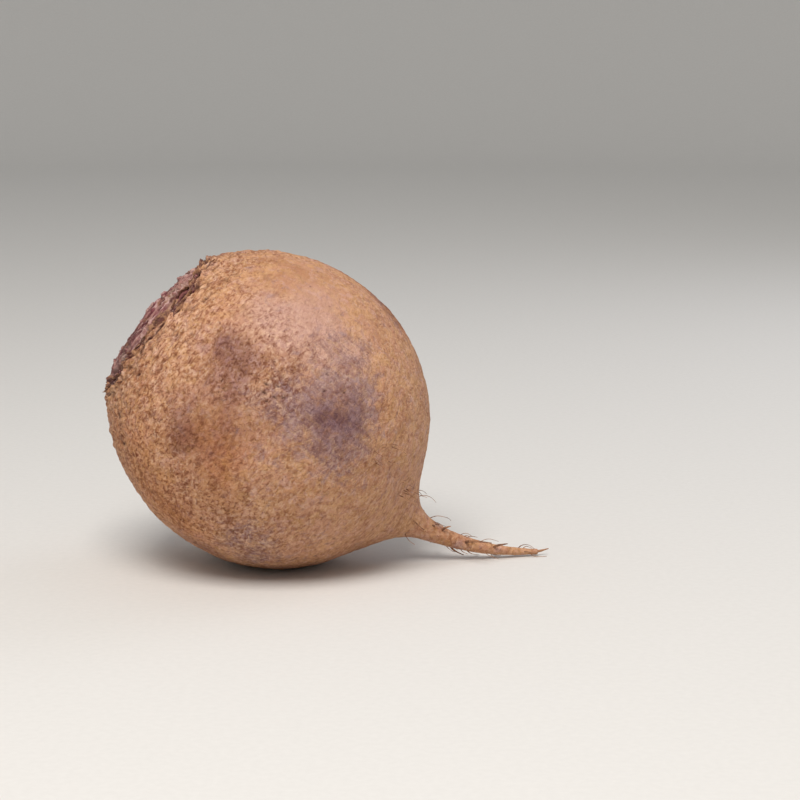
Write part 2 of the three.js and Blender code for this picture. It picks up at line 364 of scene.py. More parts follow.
# Each finish is made from tables. A pattern is noise: the size of its lumps in millimetres, how many times
# as long they are round the root (0 where they lie no way in particular), detail, roughness and warp. A sum
# adds weighted patterns. A coat is a colour, how it lies on what is under it, and the masks that it shows
# through: a pattern, a sum or a number held by the mesh, the value where it starts to show, the value where
# it is at its full strength, and that strength.

def painted(name, patterns, ground, coats, relief_depth, roughness, sums=None, ior=1.45, specular=0.5):
    """Makes a finish: coats over a ground colour, and a relief in millimetres from the sum named relief."""
    material = bpy.data.materials.new(name)
    material.use_nodes = True
    material.node_tree.nodes.clear()
    place = add(material, "ShaderNodeTexCoord").outputs["Object"]
    wanted = {source for _, _, masks in coats for source, *_ in masks}
    wanted |= {source for parts in (sums or {}).values() for source in parts}
    sources = {}
    for number in sorted(wanted - {*patterns, *(sums or {})}):
        sources[number] = add(material, "ShaderNodeAttribute", attribute_name=number).outputs["Fac"]
    for pattern, (size, long, detail, rough, warp) in patterns.items():
        where = place
        if long:
            grown = add(material, "ShaderNodeAttribute", attribute_name="grown").outputs["Vector"]
            stretch = (1 / long, 1 / long, 1)
            where = add(material, "ShaderNodeMapping", {"Vector": grown, "Scale": stretch}).outputs[0]
        inputs = {"Vector": where, "Scale": 1 / (size * MM), "Detail": detail, "Roughness": rough}
        inputs["Distortion"] = warp
        sources[pattern] = add(material, "ShaderNodeTexNoise", inputs).outputs["Fac"]
    for total, parts in (sums or {}).items():
        value = 0.0
        for source, weight in parts.items():
            inputs = {0: sources[source], 1: weight, 2: value}
            value = add(material, "ShaderNodeMath", inputs, operation="MULTIPLY_ADD").outputs[0]
        sources[total] = value
    colour = srgb(ground)
    for over, blend, masks in coats:
        share = 1.0
        for source, low, high, strength in masks:
            inputs = {"Value": sources[source], "From Min": low, "From Max": high, "To Max": strength}
            shown = add(material, "ShaderNodeMapRange", inputs, interpolation_type="SMOOTHSTEP").outputs[0]
            share = add(material, "ShaderNodeMath", {0: share, 1: shown}, operation="MULTIPLY").outputs[0]
        inputs = {0: share, 6: colour, 7: srgb(over)}
        colour = add(material, "ShaderNodeMix", inputs, data_type="RGBA", blend_type=blend).outputs[2]
    inputs = {"Height": sources["relief"], "Distance": relief_depth * MM, "Strength": 1.0}
    bump = add(material, "ShaderNodeBump", inputs)
    inputs = {
        "Base Color": colour,
        "Roughness": roughness,
        "IOR": ior,
        "Specular IOR Level": specular,
        "Normal": bump.outputs[0],
    }
    shader = add(material, "ShaderNodeBsdfPrincipled", inputs)
    add(material, "ShaderNodeOutputMaterial", {"Surface": shader.outputs[0]})
    return material


def dry_cork_skin():
    """Cork bark of a dug and brushed root: dull tan with fine scurf, lavender where it has worn thin."""
    patterns = {
        "broad": (17, 0, 3, 0.55, 0.6),
        "middle": (5.5, 0, 4, 0.62, 0.8),
        "blotch": (3.2, 1.3, 4, 0.62, 0.7),
        "ochre": (2.8, 1.3, 4, 0.6, 0.8),
        "pink": (2.9, 0, 4, 0.6, 0.8),
        "brown": (2.1, 1.4, 4, 0.62, 0.7),
        "scurf": (1.05, 1.4, 3, 0.6, 0.5),
        "fleck": (0.85, 1.6, 2, 0.55, 0.6),
        "scratch": (8, 0, 1, 0.5, 1.6),
        "dust": (0.42, 0, 2, 0.6, 0),
        "streak": (5.5, 0.28, 3, 0.6, 0.8),
        "wrinkle": (0.9, 7, 2, 0.5, 0.4),
    }
    sums = {
        "thin": {"bare": 1.0, "blotch": -3.0},
        "relief": {"scurf": 1.0, "fleck": 0.6, "brown": -0.6, "dust": 0.3},
    }
    worn = ("thin", -1.4, -0.4, 0.85)
    scratched = [("scratch", 0.492, 0.5, 1), ("scratch", 0.508, 0.5, 1)]
    coats = [
        ("#bf8d70", "MIX", [("middle", 0.4, 0.6, 1)]),
        ("#a97655", "MIX", [("broad", 0.46, 0.66, 0.6)]),
        ("#cfa081", "MIX", [("blotch", 0.5, 0.64, 0.5), ("mottle", 0, 1, 1)]),
        ("#ae824f", "MIX", [("ochre", 0.52, 0.64, 0.45)]),
        ("#caa094", "MIX", [("pink", 0.53, 0.65, 0.5)]),
        ("#c49d93", "MIX", [("pale", 0, 1, 0.7)]),
        ("#815f61", "MIX", [worn]),
        ("#b29490", "MIX", [worn, ("middle", 0.4, 0.62, 0.95)]),
        ("#b38d6c", "MIX", [("streak", 0.52, 0.62, 0.42), ("bare", 0.1, 0.5, 1)]),
        ("#70504f", "MIX", [("streak", 0.46, 0.38, 0.38), ("bare", 0.1, 0.5, 1)]),
        ("#804a31", "MIX", [("brown", 0.5, 0.64, 0.75), ("mottle", 0, 1, 1)]),
        ("#d3b1a6", "MIX", [*scratched, ("blotch", 0.5, 0.58, 0.4)]),
        ("#e6c1a6", "MIX", [("scurf", 0.5, 0.68, 0.65), ("mottle", 0, 1, 1)]),
        ("#743f27", "MIX", [("scurf", 0.48, 0.34, 0.8), ("mottle", 0, 1, 1)]),
        ("#572a14", "MIX", [("fleck", 0.37, 0.27, 0.8), ("mottle", 0.1, 1, 1)]),
        ("#a8744f", "MIX", [("wrinkle", 0.56, 0.64, 0.4), ("lined", 0, 1, 1)]),
        ("#d2a98b", "MIX", [("dust", 0.56, 0.7, 0.25)]),
        ("#cfb5a2", "MULTIPLY", [("ruddy", 0, 1, 1)]),
        # A warm tint: painted warm bounce light on the lower left, and the cork's own golden tone elsewhere.
        ("#f8e0bf", "MULTIPLY", [("golden", 0, 1, 1)]),
        ("#c0b6c9", "MULTIPLY", [("dusky", 0, 1, 1)]),
        # Painted shade in the creases of the crust.
        ("#5f3a28", "MIX", [("crease", 0, 1, 0.6)]),
        ("#80504f", "MIX", [("stain", 0, 1, 1)]),
        ("#4c2024", "MIX", [("stain", 0, 1, 1), ("brown", 0.46, 0.56, 1)]),
        ("#7b6053", "MIX", [("stain", 0, 1, 1), ("ochre", 0.5, 0.6, 0.8)]),
        ("#c3a099", "MIX", [("stain", 0, 1, 1), ("fleck", 0.58, 0.68, 0.7)]),
        # Dark cracks and pits, and painted shade in the hollows of the torn bark.
        ("#3d1c17", "MIX", [("dark", 0, 1, 1)]),
        ("#40201a", "MIX", [("gash", 0, 1, 1)]),
    ]
    return painted("dry_cork_skin", patterns, "#c7976f", coats, 0.4, 0.72, sums, specular=0.25)


def cut_crown_tissue():
    """Dried cut leaf stalks: fibrous purple-brown faces with pale dry edges over dark maroon hollows, with
    painted shade deep in the gaps between them.
    """
    patterns = {
        "middle": (2.6, 0, 4, 0.6, 0),
        "patchy": (6, 0, 4, 0.6, 0.4),
        "fibre": (0.55, 0, 4, 0.7, 0),
    }
    coats = [
        ("#7a4048", "MIX", [("face", 0, 1, 1)]),
        ("#a67873", "MIX", [("face", 0, 1, 1), ("tint", 0.3, 0.7, 1)]),
        ("#a97f78", "MIX", [("face", 0, 1, 1), ("middle", 0.46, 0.64, 0.6)]),
        ("#93704f", "MIX", [("patchy", 0.52, 0.64, 0.7)]),
        ("#55282b", "MIX", [("patchy", 0.46, 0.36, 0.7)]),
        ("#521b27", "MIX", [("low", 0, 1, 0.75), ("middle", 0.36, 0.56, 1)]),
        ("#857064", "MIX", [("ragged", 0, 1, 0.85), ("middle", 0.38, 0.58, 1)]),
        ("#4c121d", "MIX", [("groove", 0.0, 0.35, 0.9)]),
        ("#cba9a4", "MIX", [("groove", -0.2, -0.5, 0.7)]),
        ("#552528", "MIX", [("fibre", 0.45, 0.34, 0.8)]),
        ("#b98d80", "MIX", [("bundle", 0, 1, 0.45)]),
        ("#c9a399", "MIX", [("edge", 0, 1, 0.75), ("middle", 0.4, 0.6, 1)]),
        ("#a97d5d", "MIX", [("bark", 0, 1, 1)]),
        # Painted shade in the gaps between the stubs.
        ("#2c1114", "MIX", [("gap", 0, 1, 1)]),
    ]
    relief = {"relief": {"fibre": 1.0}}
    return painted("cut_crown_tissue", patterns, "#4a2023", coats, 0.22, 0.6, relief, specular=0.35)


def torn_dry_bark():
    """Shreds of bark torn at the crown: tan and brown outside, stained maroon where they were broken."""
    patterns = {
        "middle": (1.9, 0, 3, 0.6, 0),
        "stained": (2.7, 0, 3, 0.6, 0),
        "fine": (0.5, 0, 3, 0.65, 0),
    }
    coats = [
        ("#744c3f", "MIX", [("middle", 0.42, 0.58, 1)]),
        ("#5a2d2c", "MIX", [("stained", 0.5, 0.62, 0.8)]),
        ("#c8a591", "MIX", [("fine", 0.56, 0.72, 0.6)]),
    ]
    return painted("torn_dry_bark", patterns, "#a57a5c", coats, 0.2, 0.75, {"relief": {"fine": 1.0}})


def dry_rootlet():
    """Wiry dried rootlets: the tan of the cork, browner in places."""
    patterns = {"middle": (2.2, 0, 3, 0.5, 0), "fine": (0.5, 0, 3, 0.6, 0)}
    coats = [
        ("#74503c", "MIX", [("middle", 0.4, 0.62, 1)]),
        ("#c9a080", "MIX", [("fine", 0.55, 0.7, 0.5)]),
    ]
    return painted("dry_rootlet", patterns, "#a87b5b", coats, 0.08, 0.75, {"relief": {"fine": 1.0}})


def pale_table():
    """A matt off-white table top."""
    patterns = {"fine": (2, 0, 2, 0.5, 0)}
    coats = [("#dfdfde", "MIX", [("fine", 0, 1, 1)])]
    relief = {"relief": {"fine": 1.0}}
    return painted("pale_table", patterns, "#dadad9", coats, 0.01, 0.8, relief, specular=0.2)


# The skin

# Where the photographed side has patches of another colour: angle in degrees, depth, radius, strength. The
# golden patches of the lower left are painted warm bounce light.
DUSKY_PATCHES = [
    (18, 21, 6, 0.85), (20, 27, 6, 0.6), (18, 33, 6, 0.2), (27, 40, 6, 0.4), (14, 30, 5, 0.25),
    (3, 24, 6, 0.25), (-9, 24, 5, 0.4), (-16, 27, 6, 0.4), (-20, 32, 6, 0.3), (-14, 36, 7, 0.2),
    (0, 37, 9, 0.2), (-2, 43, 8, 0.2), (11, 45, 7, 0.3), (19, 60, 8, 0.85), (30, 62, 8, 0.4),
    (-63, 54, 7, 0.6), (22, 48, 6, 0.3), (6, 31, 6, 0.5),
]
RUDDY_PATCHES = [
    (-10, 37, 7, 0.2), (-20, 44, 9, 0.35), (-30, 52, 9, 0.35), (-40, 30, 11, 0.15), (-58, 17, 9, 0.1),
    (-45, 12, 7, 0.3), (-17, 29, 8, 0.45), (-2, 35, 9, 0.45),
]
# Golden patches: those of the lower left are painted warm bounce light, the others the cork's own golden
# tone.
GOLDEN_AND_BOUNCE_PATCHES = [
    (-35, 20, 10, 0.3), (-52, 30, 14, 0.6), (-50, 46, 13, 0.5), (-58, 14, 10, 0.3), (-20, 12, 8, 0.3),
    (-14, 42, 10, 0.5), (35, 16, 10, 0.25),
]
BARE_PATCHES = [
    (27, 57, 9, 0.8), (33, 62, 7, 0.6), (19, 59, 8, 0.9), (22, 52, 7, 0.7), (17, 47, 7, 0.5),
    (20, 43, 6, 0.35), (6, 52, 6, 0.3), (41, 50, 8, 0.45), (50, 54, 9, 0.3), (15, 67, 10, 0.8),
    (-33, 58, 7, 0.5), (-44, 66, 9, 0.8), (8, 40, 5, 0.3), (37, 41, 8, 0.2),
]
PALE_PATCHES = [
    (33, 33, 7, 0.4), (45, 32, 10, 0.7), (60, 36, 11, 0.5), (40, 25, 8, 0.5), (12, 39, 4, 0.4),
    (42, 42, 8, 0.7), (45, 52, 8, 0.8),
]
MOTTLED_PATCHES = [
    (31, 35, 9, 0.2), (17, 40, 6, 0.4), (-30, 22, 16, 0.25), (-45, 40, 16, 0.35), (15, 29, 8, 0.3),
    (-35, 58, 14, 0.3), (10, 8, 12, 0.2),
]
PLAIN_PATCHES = [(62, 38, 16, 0.25), (75, 24, 12, 0.3), (60, 20, 8, 0.15), (25, 58, 10, 0.15)]
LINED_PATCHES = [(72, 18, 9, 1.0), (60, 26, 8, 0.5), (35, 45, 9, 0.5)]

# The patches' edges are drawn out by noise: the width of a lump, and how far it pulls them.
PATCH_WARPS = [(9.0, 3.4), (3.6, 1.9)]
WARP_SHIFTS = (41.0, 57.0, 73.0)

# The side that the photograph doesn't show has patches by noise: its shift, where they start and are full.
HIDDEN_LUMP = 26.0
HIDDEN_PATCHES = {
    "bare": (12.0, 0.0, 0.6),
    "dusky": (19.0, 0.0, 0.6),
    "ruddy": (29.0, -0.1, 0.5),
    "golden": (37.0, -0.1, 0.5),
}

# The skin's rings: points round the widest, the radii below which they are halved, and the gaps between
# rings on the crown, the shoulder, the globe, the neck and the tail.
SKIN_POINTS_ROUND = 384
SKIN_HALVED_BELOW = (16, 8, 4)
SHOULDER_END = 20
SKIN_GAPS = {"crown": 1.2, "shoulder": 0.4, "globe": 0.62, "neck": 0.5, "tail": 0.4}

# Under the cut crown the skin is lowered out of sight: by how much, and over which stretch of its arc.
LOWERED_UNDER_CROWN = 4.2
CROWN_LEDGE = (-1.4, -0.1)

# Noise that lies round the root: how long a lump is that way, and how wide it is down the root.
CRACK_LUMP = (4.2, 1.5)
WRINKLE_LUMP = (9, 1.9)
TORN_LUMP = (6.0, 1.5)
STRIP_LUMP = (7, 1.1)
CRUST_LUMP = (4.4, 2.3)

# How far from the crown's rim the cracks, the wrinkles, the rough cork and the mottling reach, and how
# far from the torn border the torn bark does.
CRACK_REACH = 7.5
WRINKLE_REACH = 9
ROUGH_REACH = 34
MOTTLE_REACH = 30
TORN_REACH = 2.6

# The skin's relief: its noise as layers of width, shift and height, and the height of each kind of mark.
LOW_LUMPS = [(11, 1.0, 0.22), (5, 2.0, 0.16)]
GRAIN = [(2.5, 4.0, 0.28), (1.2, 6.0, 0.15)]
WRINKLES = [(1.0, 3.0, 1.0), (0.45, 9.0, 0.6)]
ROUGH_SHARE = {"tail": 0.42, "shoulder": 1.0}
WRINKLE_HEIGHT = {"globe": 0.05, "shoulder": 0.22, "tail": 0.16}
TORN_HEIGHT = 1.1
STRIP_HEIGHT = 1.0
STAIN_DEPTH = 0.6
LIP_HEIGHT = 0.55
NOTCH_DEPTH = 0.7
CRUST_HEIGHT = 0.9
KNOB_HEIGHT = 0.45
CRACK_DEPTH = 0.5
PIT_DEPTH = 0.3
SCAR_DEPTH = 0.7
LINE_WIDTH = 0.07
TAIL_RELIEF = 0.35


def surface_point(angle, depth):
    """One point of the smooth globe from an angle in degrees and a depth."""
    return point_at(math.radians(angle), globe_radius(depth), depth)


def patches(points, rows):
    """How strongly points lie in a list of round patches."""
    total = np.zeros(len(points))
    points = points.copy()
    for size, reach in PATCH_WARPS:
        points += reach * np.stack([lumps(points, size, shift) for shift in WARP_SHIFTS], axis=1)
    for angle, depth, radius, strength in rows:
        away = np.linalg.norm(points - surface_point(angle, depth), axis=1)
        total += strength * bell(away, radius)
    return total


# Deep marks of the photographed side: angle in degrees, depth, length, width and turn in degrees.
PITTED_SPOTS = [
    (30, 9, 2.6, 1.0, 35), (36, 10, 3.0, 1.1, 15), (11, 10, 2.2, 0.8, 0), (-19, 9, 3.2, 0.9, 10),
    (-52, 18, 3.8, 1.3, 20), (-47, 12, 2.2, 1.3, 60), (17, 38, 2.2, 0.9, 80), (14, 39, 1.8, 0.8, 95),
    (19, 41, 2.0, 0.9, 70), (15, 42, 1.6, 0.8, 85), (20, 38, 1.3, 0.8, 60), (12, 41, 1.3, 0.8, 80),
    (17, 44, 1.4, 0.8, 90), (22, 43, 1.2, 0.8, 75), (28, 52, 1.4, 1.0, 0), (34, 50, 1.2, 1.0, 0),
    (33, 57, 1.1, 0.9, 40),
]


def scars(points, rows):
    """Short deep pits at listed places, from 0 to 1 at their middle. A turn of 0 runs round the root."""
    depth_in = np.zeros(len(points))
    for angle, depth, length, width, turn in rows:
        middle = surface_point(angle, depth)
        around = surface_point(angle + 1, depth) - middle
        down = surface_point(angle, depth + 1) - middle
        around /= np.linalg.norm(around)
        down /= np.linalg.norm(down)
        off = points - middle
        a, b = off @ around, off @ down
        cosine, sine = math.cos(math.radians(turn)), math.sin(math.radians(turn))
        along = (a * cosine + b * sine) / (0.5 * length)
        across = (b * cosine - a * sine) / (0.5 * width)
        near = np.linalg.norm(off, axis=1) < 3 * length
        depth_in = np.maximum(depth_in, np.where(near, np.exp(-(along**2) - across**2), 0))
    return depth_in


def skin_rows():
    """(radius, depth) of the skin's rings, closer together on the wrinkled shoulder and the thin tail."""
    share = np.linspace(0, 1, 200)
    crown = np.stack([CROWN_RADIUS * share, CROWN_DOME * share**2], axis=1)
    stretches = [
        (crown, SKIN_GAPS["crown"]),
        (globe_arc(CROWN_DOME, SHOULDER_END, 400), SKIN_GAPS["shoulder"]),
        (globe_arc(SHOULDER_END, NECK_START, 900), SKIN_GAPS["globe"]),
        (neck_arc(300), SKIN_GAPS["neck"]),
        (tail_arc(400), SKIN_GAPS["tail"]),
    ]
    rows = []
    for line, gap in stretches:
        length = np.concatenate([[0], np.cumsum(np.linalg.norm(np.diff(line, axis=0), axis=1))])
        count = max(2, round(length[-1] / gap))
        wanted = np.linspace(0, length[-1], count + 1)[:-1]
        rows.append(np.stack([np.interp(wanted, length, line[:, k]) for k in (0, 1)], axis=1))
    return np.concatenate(rows)[1:]


def round_count(radius, most, halved_below):
    """How many points a ring has: half as many below each of these radii."""
    halvings = sum(1 for least in halved_below if radius < least)
    return most // 2**halvings


def turns_of(counts):
    """The angle of every point of the rings."""
    return np.concatenate([np.arange(n) * 2 * math.pi / n for n in counts])


def outward_of(rows):
    """The outline's outward direction at each row, as (radius, depth)."""
    run = np.gradient(rows, axis=0)
    outward = np.stack([run[:, 1], -run[:, 0]], axis=1)
    return outward / np.linalg.norm(outward, axis=1)[:, None]


# The bark's torn border past the crown's rim: its mean distance, and noise round the crown.
BORDER = 2.1
BORDER_LAYERS = [(0.35, 3.0, 2.4), (0.1, 8.0, 1.2), (0.035, 14.0, 0.6)]

# Where the bark is torn further down: angle and half width in degrees, and how far in millimetres.
RIM_TEARS = [(36, 13, 4.2), (-42, 17, 2.6), (128, 15, 3.0), (212, 12, 3.4), (285, 9, 2.4)]


def rim_border(angle):
    """How far past the crown's rim, along the skin, the bark is torn away at each angle."""
    around = np.stack([np.cos(angle), np.sin(angle), np.zeros_like(angle)], axis=1)
    border = BORDER + layered(around, BORDER_LAYERS)
    for middle, spread, reach in RIM_TEARS:
        off = (np.degrees(angle) - middle + 180) % 360 - 180
        border += reach * bell(off, spread)
    return border


def bare_skin():
    """The skin before it is marked. Its arc is the way down the skin from the crown's rim."""
    rows = skin_rows()
    run = np.cumsum(np.linalg.norm(np.diff(rows, axis=0, prepend=rows[:1]), axis=1))
    counts = [round_count(radius, SKIN_POINTS_ROUND, SKIN_HALVED_BELOW) for radius, _ in rows]
    skin = SimpleNamespace(counts=counts)
    skin.angle = turns_of(counts)
    skin.radius = np.repeat(rows[:, 0], counts)
    skin.depth = np.repeat(rows[:, 1], counts)
    skin.arc = np.repeat(run - np.interp(CROWN_DOME, rows[:, 1], run), counts)
    skin.outward = np.repeat(outward_of(rows), counts, axis=0)
    skin.points = place(skin.angle, skin.radius, skin.depth)
    return skin


def round_the_root(skin, long, wide):
    """Places for noise whose lumps are this long round the root and this wide down it."""
    across = skin.radius * np.cos(skin.angle) / long
    over = skin.radius * np.sin(skin.angle) / long
    return np.stack([across, over, skin.arc / wide], axis=1)


def cracks(skin):
    """Short dark cracks in the cork, side by side with the crown's rim, from 0 to 1."""
    places = round_the_root(skin, *CRACK_LUMP)
    line = lumps(places, 1.0, 7.3)
    broken = lumps(places, 1.7, 31.0)
    near = np.exp(-np.clip(skin.arc, 0, None) / CRACK_REACH)
    return bell(line, LINE_WIDTH) * smooth_step(broken + 0.55 * near, 0.25, 0.5) * near


def pits(points):
    """Small round pits, from 0 at their edge to 1 at their middle."""
    depth = np.zeros(len(points))
    for size, share, radius in ((6.5, 0.45, 0.9), (3.4, 0.35, 0.5)):
        for i, point in enumerate((points / size).tolist()):
            away, places = noise.voronoi(point)
            pick = noise.cell(places[0] * 17.0)
            if pick > 1 - 2 * share:
                depth[i] = max(depth[i], 1 - away[0] * size / radius)
    return np.clip(depth, 0, 1)


def mark_skin(skin):
    """Adds the skin's marks, mostly from 0 to 1, and the noise from -1 to 1 that breaks them up."""
    skin.on_crown = 1 - smooth_step(skin.arc, *CROWN_LEDGE)
    skin.on_globe = 1 - skin.on_crown
    skin.to_tail = smooth_step(skin.depth, NECK_START - 6, NECK_END)
    skin.rough = mix(ROUGH_SHARE["tail"], ROUGH_SHARE["shoulder"], fading(skin.arc, ROUGH_REACH))
    skin.crack = cracks(skin) * skin.on_globe
    skin.hole = pits(skin.points) * (1 - skin.to_tail) * skin.on_globe
    skin.scar = scars(skin.points, PITTED_SPOTS)

    skin.beyond = skin.arc - rim_border(skin.angle)
    skin.torn_part = smooth_step(skin.beyond, -0.2, 0.2) * fading(skin.beyond, TORN_REACH)
    skin.stain = (1 - smooth_step(skin.beyond, -0.5, 0.25)) * skin.on_globe
    torn_places = round_the_root(skin, *TORN_LUMP) + 0.3 * lumps(skin.points, 3.0, 61.0)[:, None]
    skin.torn = lumps(torn_places, 1.0, 17.0)
    skin.strips = lumps(round_the_root(skin, *STRIP_LUMP), 1.0, 43.0) + 0.4 * lumps(skin.points, 1.3, 47.0)

    crust_places = round_the_root(skin, *CRUST_LUMP) + 0.25 * lumps(skin.points, 2.0, 11.0)[:, None]
    skin.crust = lumps(crust_places, 1.0, 23.0)
    # Painted shade along the valleys between the cork's crust ridges, where the crust noise is near 0.
    skin.crease = bell(skin.crust, LINE_WIDTH) * skin.rough**3 * skin.on_globe
    skin.crease = skin.crease * (1 - skin.to_tail) * (1 - skin.stain)


def skin_height(skin):
    """How far the marked skin stands out of the smooth outline."""
    near_rim = np.exp(-np.clip(skin.arc, 0, None) / WRINKLE_REACH)
    wrinkle_height = mix(WRINKLE_HEIGHT["globe"], WRINKLE_HEIGHT["shoulder"], near_rim)
    wrinkle_height += WRINKLE_HEIGHT["tail"] * skin.to_tail
    lip = bell(skin.beyond - 0.5, 0.6) * skin.on_globe
    notch = bell(skin.beyond + 0.5, 0.45) * skin.on_globe * smooth_step(skin.torn, -0.3, 0.2)
    ridges = skin.rough**2 * (np.abs(skin.crust) - 0.2) * skin.on_globe
    knobs = skin.rough**2 * (np.abs(lumps(skin.points, 1.9, 51.0)) - 0.2) * skin.on_globe

    height = swelling(skin.angle, skin.depth) - furrow(skin.angle, skin.radius, skin.depth)
    height += layered(skin.points, LOW_LUMPS)
    height += skin.rough * layered(skin.points, GRAIN) * skin.on_globe
    height += TORN_HEIGHT * skin.torn_part * skin.torn
    height += STRIP_HEIGHT * skin.stain * skin.strips - STAIN_DEPTH * skin.stain
    height += LIP_HEIGHT * lip * (0.6 + skin.torn) - NOTCH_DEPTH * notch
    height += CRUST_HEIGHT * ridges * (1 - 0.7 * skin.to_tail) * (1 - skin.stain)
    height += KNOB_HEIGHT * knobs * (1 - skin.stain)
    height += wrinkle_height * layered(round_the_root(skin, *WRINKLE_LUMP), WRINKLES)
    height -= CRACK_DEPTH * skin.crack + PIT_DEPTH * skin.hole + SCAR_DEPTH * skin.scar
    height *= mix(1.0, TAIL_RELIEF, skin.to_tail)
    return height - LOWERED_UNDER_CROWN * skin.on_crown


def skin_fields(skin):
    """The numbers that the cork's finish reads at each point."""
    front = smooth_step(np.cos(skin.angle), -0.1, 0.25)

    def shown(rows):
        return patches(skin.points, rows)

    def hidden(name):
        shift, low, high = HIDDEN_PATCHES[name]
        return smooth_step(lumps(skin.points, HIDDEN_LUMP, shift), low, high) * (1 - front)

    mottle = np.clip(0.5 + 0.28 * fading(skin.arc, MOTTLE_REACH), 0, 1)
    mottle += shown(MOTTLED_PATCHES) - shown(PLAIN_PATCHES)
    # Cracks and pits are darker in the cork's own colour; the hollows of the torn bark, and those between
    # the strips where it is torn away, get painted shade.
    dark = 1.1 * skin.crack + 0.75 * skin.hole
    dark += skin.torn_part * smooth_step(-skin.torn, 0.14, 0.42)
    dark += 0.9 * skin.stain * smooth_step(-skin.strips, 0.12, 0.4)
    gash = 0.85 * skin.scar * smooth_step(lumps(skin.points, 0.9, 71.0), -0.6, -0.1)
    return {
        "dusky": np.clip(shown(DUSKY_PATCHES) + 0.8 * hidden("dusky"), 0, 1.1),
        "ruddy": np.clip(shown(RUDDY_PATCHES) + 0.7 * hidden("ruddy"), 0, 1),
        "golden": np.clip(shown(GOLDEN_AND_BOUNCE_PATCHES) + 0.5 * hidden("golden"), 0, 1),
        "pale": np.clip(shown(PALE_PATCHES), 0, 1),
        "crease": skin.crease,
        "bare": np.clip(shown(BARE_PATCHES) + 0.8 * hidden("bare"), 0, 1),
        "dark": np.clip(dark, 0, 1),
        "gash": np.clip(gash, 0, 1),
        "stain": skin.stain,
        "mottle": np.clip(mottle, 0.2, 1.3),
        "lined": np.clip(shown(LINED_PATCHES) + 0.5 * hidden("dusky"), 0, 1),
        "grown": round_the_root(skin, 1, 1) * MM,
    }


def skin_piece(material):
    skin = bare_skin()
    mark_skin(skin)
    height = skin_height(skin)
    radius = skin.radius + height * skin.outward[:, 0]
    depth = skin.depth + height * skin.outward[:, 1]
    points = place(skin.angle, radius, depth)
    points[:, 2] = np.maximum(points[:, 2], 0)
    poles = [point_at(0, 0, LOWERED_UNDER_CROWN), point_at(0, 0, TAIL_END + 1)]
    all_points = np.concatenate([poles[:1], points, poles[1:]])
    fields = {name: np.concatenate([[v[0]], v, [v[-1]]]) for name, v in skin_fields(skin).items()}
    faces = rings_to_faces([1, *skin.counts, 1])
    return make_piece("root_skin", all_points, faces, fields, material)


# The crown

CROWN_EDGE = 24.6
CROWN_GAP = 0.17
CROWN_POINTS_ROUND = 768
CROWN_HALVED_BELOW = (14, 7, 3.5)
CROWN_SKIRT = 4.0
CROWN_LOWERED = 0.9
CROWN_EDGE_DROP = 1.6

# The stubs' relief: how deep the hollows between them, their dished faces and their strands are, how high
# their bundles of vessels stand, how much wider and thicker than the solid's own stubs they are, how many
# bundles lie across each, and how dark the painted shade in the gaps between them is.
HOLLOW_DEPTH = 1.3
DISH_DEPTH = 0.55
STRAND_DEPTH = 0.5
BUNDLE_HEIGHT = 0.15
STUB_LAP = 1.3
BUNDLES_ACROSS = 6
GAP_SHADE = 0.85

# The pale dry edge of a stub's face: how far in from its outline it runs, and its width.
EDGE_INSET = 0.22
EDGE_WIDTH = 0.16

# Noise over the crown, as layers of width, shift and height: it bends the stubs and tears the ragged ones.
BEND_ACROSS = [(5.2, 2.0, 1.5), (1.6, 5.0, 0.5)]
BEND_OVER = [(5.2, 22.0, 1.5), (1.6, 25.0, 0.5), (0.6, 27.0, 0.15)]
RAGGED_LAYERS = [(1.5, 81.0, 0.9), (0.7, 85.0, 0.5)]

# Where the stubs are torn to shreds instead of cut: place across and over the crown, and radius.
RAGGED_SPOTS = [(14.5, 12.5, 6.0), (16.0, -11.0, 4.0), (-17.0, 5.0, 5.0), (-6.0, -17.0, 4.0)]


def leaf_stubs():
    """Place, size and rise of each leaf stalk stub."""
    draws = Draws(STUB_SEED)
    stubs = []
    for index in range(STUB_COUNT):
        share = math.sqrt((index + STUB_FIRST) / STUB_COUNT)
        width = mix(*STUB_WIDTH, share) * draws.between(1 - STUB_WIDTH_SPREAD, 1 + STUB_WIDTH_SPREAD)
        thickness = mix(*STUB_THICKNESS, share)
        rise = draws.between(*STUB_RISE)
        stubs.append((STUB_OUTERMOST * share, index * GOLDEN_ANGLE, width, thickness, rise))
    return stubs


